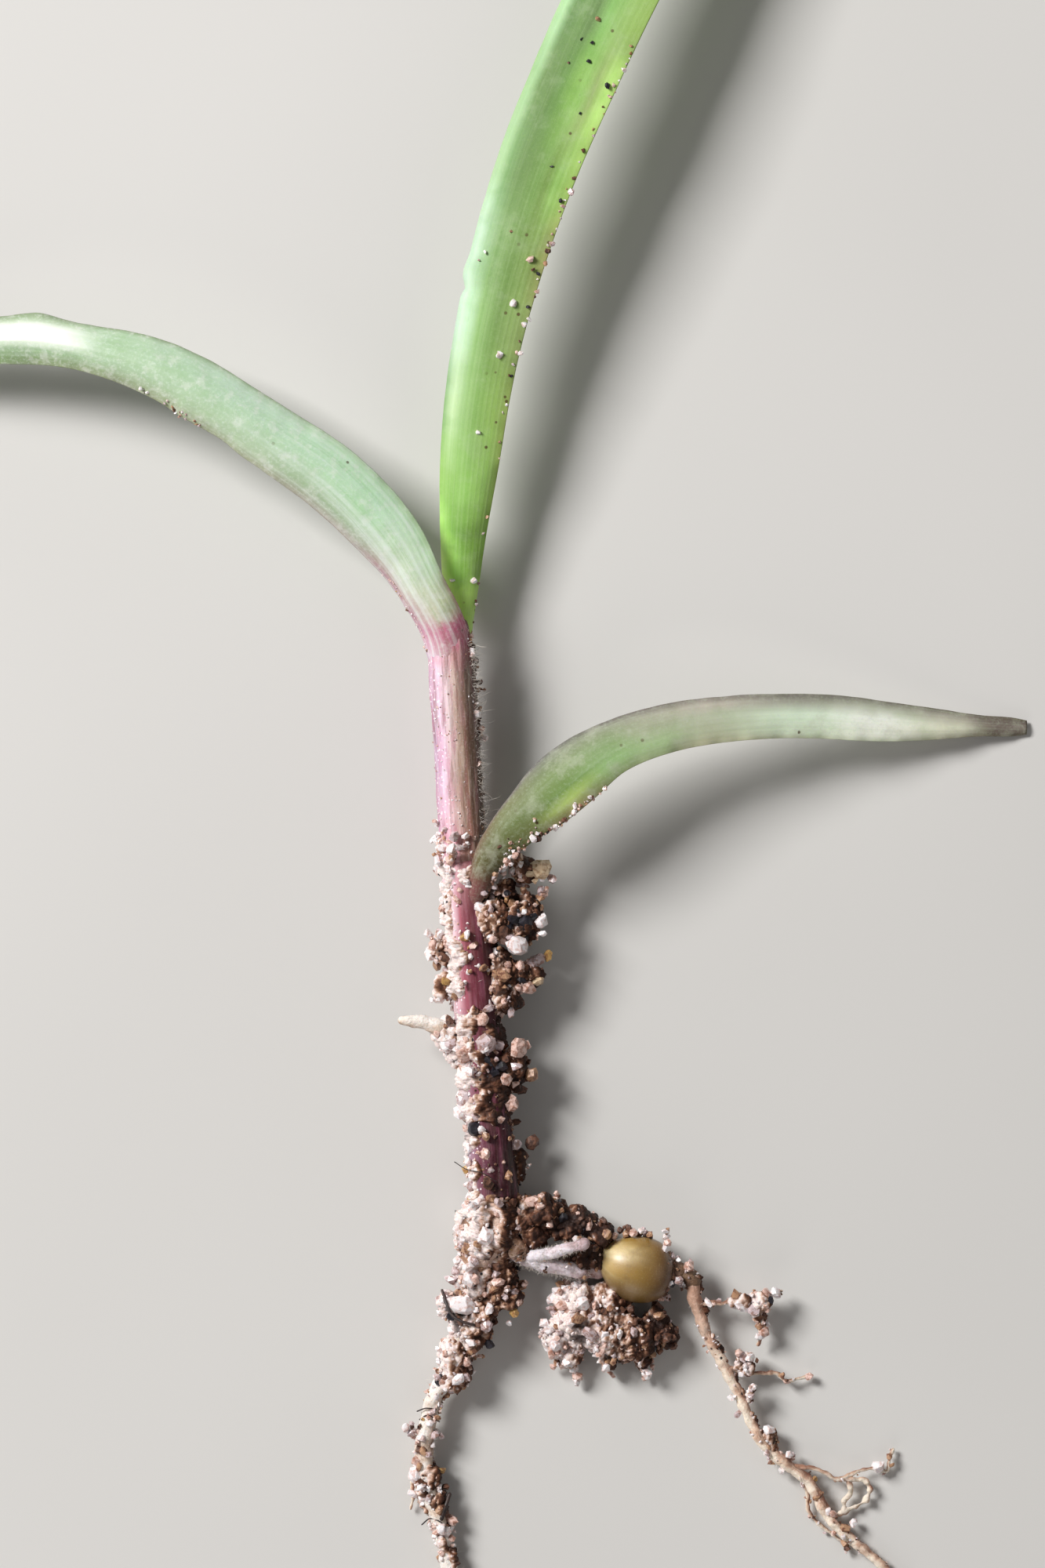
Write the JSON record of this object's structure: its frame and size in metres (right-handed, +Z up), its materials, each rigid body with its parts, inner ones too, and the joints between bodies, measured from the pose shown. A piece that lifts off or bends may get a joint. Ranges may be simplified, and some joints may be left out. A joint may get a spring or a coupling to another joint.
{
  "type": "foxtail millet seedling",
  "caption": "Young foxtail millet plant, pulled up and laid flat, with a rolled sheath stem, arching blades, its seed still attached and thin roots crusted with sand.",
  "frame": {"origin": "middle of the plant's outline seen from above, on the flat surface that it lies on", "axes": "+Y along the shoot from the roots to the youngest leaf, +X towards the first leaf, +Z up"},
  "size_m": [0.0416, 0.0706, 0.0035],
  "materials": {
    "lower_sheath": "purple and pink rolled leaf sheath with lengthwise veins",
    "upper_sheath": "pink to cream leaf sheath with brown lengthwise stripes",
    "sheath_margin": "whitish fringe of short hairs",
    "first_leaf": "olive to grey-green blade with a satin skin and a brown tip",
    "second_leaf": "pale frosted green blade with lighter veins",
    "third_leaf": "bright green satin blade with fine lengthwise veins",
    "seed": "glossy olive-yellow husk",
    "seed_root_sheath": "brown papery collar",
    "white_root": "white, downy young root",
    "crown": "tan swelling, crusted",
    "root": "cream root, slightly knobbly",
    "sand": "damp quartz sand, glassy, pink, tan and brown grains"
  },
  "bodies": {
    "root": {"lower_sheath": "lower_sheath", "upper_sheath": "upper_sheath", "hairy_sheath_margin": "sheath_margin", "first_leaf_inner": "first_leaf", "first_leaf_outer": "first_leaf", "second_leaf_inner": "second_leaf", "second_leaf_outer": "second_leaf", "third_leaf_inner": "third_leaf", "third_leaf_outer": "third_leaf", "seed": "seed", "seed_root_sheath": "seed_root_sheath", "mesocotyl": "white_root", "white_root_stub": "white_root", "crown": "crown", "root_spur": "root", "main_root_upper": "root", "main_root_lower": "root", "seed_root_upper": "root", "seed_root_lower": "root", "rootlet_1": "root", "rootlet_2": "root", "rootlet_3": "root", "rootlet_4": "root", "rootlet_5": "root", "sand_at_leaf_base": "sand", "sand_left_of_stem": "sand", "sand_low_on_stem": "sand", "sand_at_crown": "sand", "sand_under_seed": "sand", "sand_on_main_root": "sand"}
  },
  "joints": []
}
